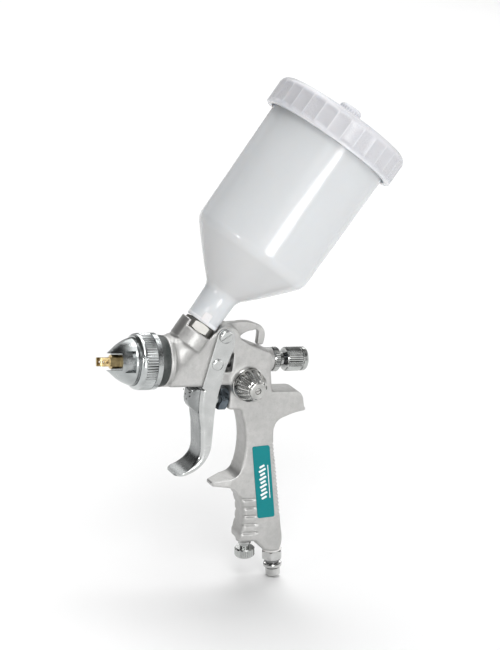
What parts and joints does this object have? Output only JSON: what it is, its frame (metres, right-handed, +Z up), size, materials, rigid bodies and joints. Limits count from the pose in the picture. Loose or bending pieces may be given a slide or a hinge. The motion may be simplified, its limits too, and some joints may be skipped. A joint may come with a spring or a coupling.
{
  "type": "hvlp spray gun",
  "caption": "Gravity-feed HVLP spray gun: cast body with hanging hook, trigger, air cap, control knobs, quick-plug air inlet and a leaning screw-lid plastic paint cup.",
  "frame": {"origin": "end of the straight nose of the air inlet plug, on its axis", "axes": "+Z up along the gun's height, -X the way the gun sprays, Y across; the fan knob is on -Y"},
  "size_m": [0.2108, 0.1052, 0.373],
  "materials": {
    "cast_aluminium": "satin, fine cast grain",
    "chrome": "bright plated",
    "polished_steel": "polished pressed steel",
    "nickel": "nickel plated, slightly dulled",
    "steel": "turned stainless",
    "brass": "machined",
    "black_rubber": "matt",
    "white_seal": "matt",
    "cup_plastic": "frosted translucent",
    "lid_plastic": "frosted",
    "label": "printed film"
  },
  "bodies": {
    "casting": {"gun_body": "cast_aluminium", "side_label": "label", "fluid_nozzle": "steel", "air_distributor": "black_rubber", "front_seal": "black_rubber", "needle_packing": "white_seal", "packing_nut": "brass", "needle_spring": "steel", "fluid_bushing": "nickel", "pivot_screw": "nickel", "pivot_nut": "nickel", "air_valve_nut": "chrome", "air_valve_gland": "nickel", "air_valve_seat": "white_seal", "air_valve_spring": "steel", "fan_housing": "nickel", "regulator_bushing": "nickel", "inlet_plug": "nickel", "inlet_washer": "white_seal", "cup_fitting": "nickel"},
    "trigger": {"trigger": "polished_steel", "needle_push_pins": "nickel"},
    "needle": {"fluid_needle": "steel", "needle_collar": "brass"},
    "valve_stem": {"air_valve_stem": "steel"},
    "air_cap": {"air_cap": "chrome", "air_cap_horns": "brass"},
    "cap_ring": {"air_cap_ring": "chrome"},
    "fluid_knob": {"fluid_knob": "nickel"},
    "lock_ring": {"fluid_lock_ring": "nickel"},
    "fan_knob": {"fan_stem": "steel", "fan_knob": "nickel", "fan_knob_screw": "steel"},
    "regulator_knob": {"regulator_knob": "nickel"},
    "cup": {"cup": "cup_plastic", "paint_filter": "white_seal"},
    "lid_seal": {"lid_seal": "white_seal"},
    "lid": {"cup_lid": "lid_plastic"},
    "vent_cap": {"vent_cap": "lid_plastic"}
  },
  "joints": [
    {"name": "trigger_pull", "type": "hinge", "parent": "casting", "child": "trigger", "pos_m": [-0.06745, 0, 0.18848], "axis": [0, -1, 0], "range_deg": [0, 13], "stiffness_Nm_per_rad": 2, "springref_deg": -14.32},
    {"name": "needle_draw", "type": "slide", "parent": "casting", "child": "needle", "axis": [1, 0, 0], "range_m": [0, 0.00475], "deforming": ["needle_spring"]},
    {"name": "valve_push", "type": "slide", "parent": "casting", "child": "valve_stem", "axis": [1, 0, 0], "range_m": [0, 0.011], "deforming": ["air_valve_spring"]},
    {"name": "air_cap_turn", "type": "hinge", "parent": "casting", "child": "air_cap", "pos_m": [-0.10045, 0, 0.16768], "axis": [1, 0, 0], "range_deg": [-90, 90]},
    {"name": "cap_ring_turn", "type": "hinge", "parent": "casting", "child": "cap_ring", "pos_m": [-0.10045, 0, 0.16768], "axis": [1, 0, 0], "continuous": true},
    {"name": "fluid_knob_turn", "type": "hinge", "parent": "casting", "child": "fluid_knob", "pos_m": [-0.00345, 0, 0.16768], "axis": [1, 0, 0], "range_deg": [0, 990]},
    {"name": "lock_ring_turn", "type": "hinge", "parent": "casting", "child": "lock_ring", "pos_m": [-0.02045, 0, 0.16768], "axis": [1, 0, 0], "continuous": true},
    {"name": "fan_knob_turn", "type": "hinge", "parent": "casting", "child": "fan_knob", "pos_m": [-0.04545, 0, 0.15288], "axis": [0, -1, 0], "range_deg": [0, 810]},
    {"name": "regulator_turn", "type": "hinge", "parent": "casting", "child": "regulator_knob", "pos_m": [-0.02725, 0, 0.02938], "axis": [0.1392, 0, -0.9903], "range_deg": [0, 990]},
    {"name": "cup_turn", "type": "hinge", "parent": "casting", "child": "cup", "pos_m": [-0.10045, 0, 0.16768], "axis": [0.5299, 0, 0.848], "continuous": true},
    {"name": "lid_lift", "type": "slide", "parent": "cup", "child": "lid_seal", "axis": [0.5299, 0, 0.848], "range_m": [0, 0.06]},
    {"name": "lid_turn", "type": "hinge", "parent": "lid_seal", "child": "lid", "pos_m": [-0.10045, 0, 0.16768], "axis": [0.5299, 0, 0.848], "continuous": true},
    {"name": "vent_turn", "type": "hinge", "parent": "lid", "child": "vent_cap", "pos_m": [-0.10045, 0, 0.16768], "axis": [0.5299, 0, 0.848], "continuous": true}
  ],
  "couplings": [
    {"joint": "needle_draw", "follows": "trigger_pull", "m_per_rad": 0.0208},
    {"joint": "valve_push", "follows": "trigger_pull", "m_per_rad": 0.048}
  ]
}
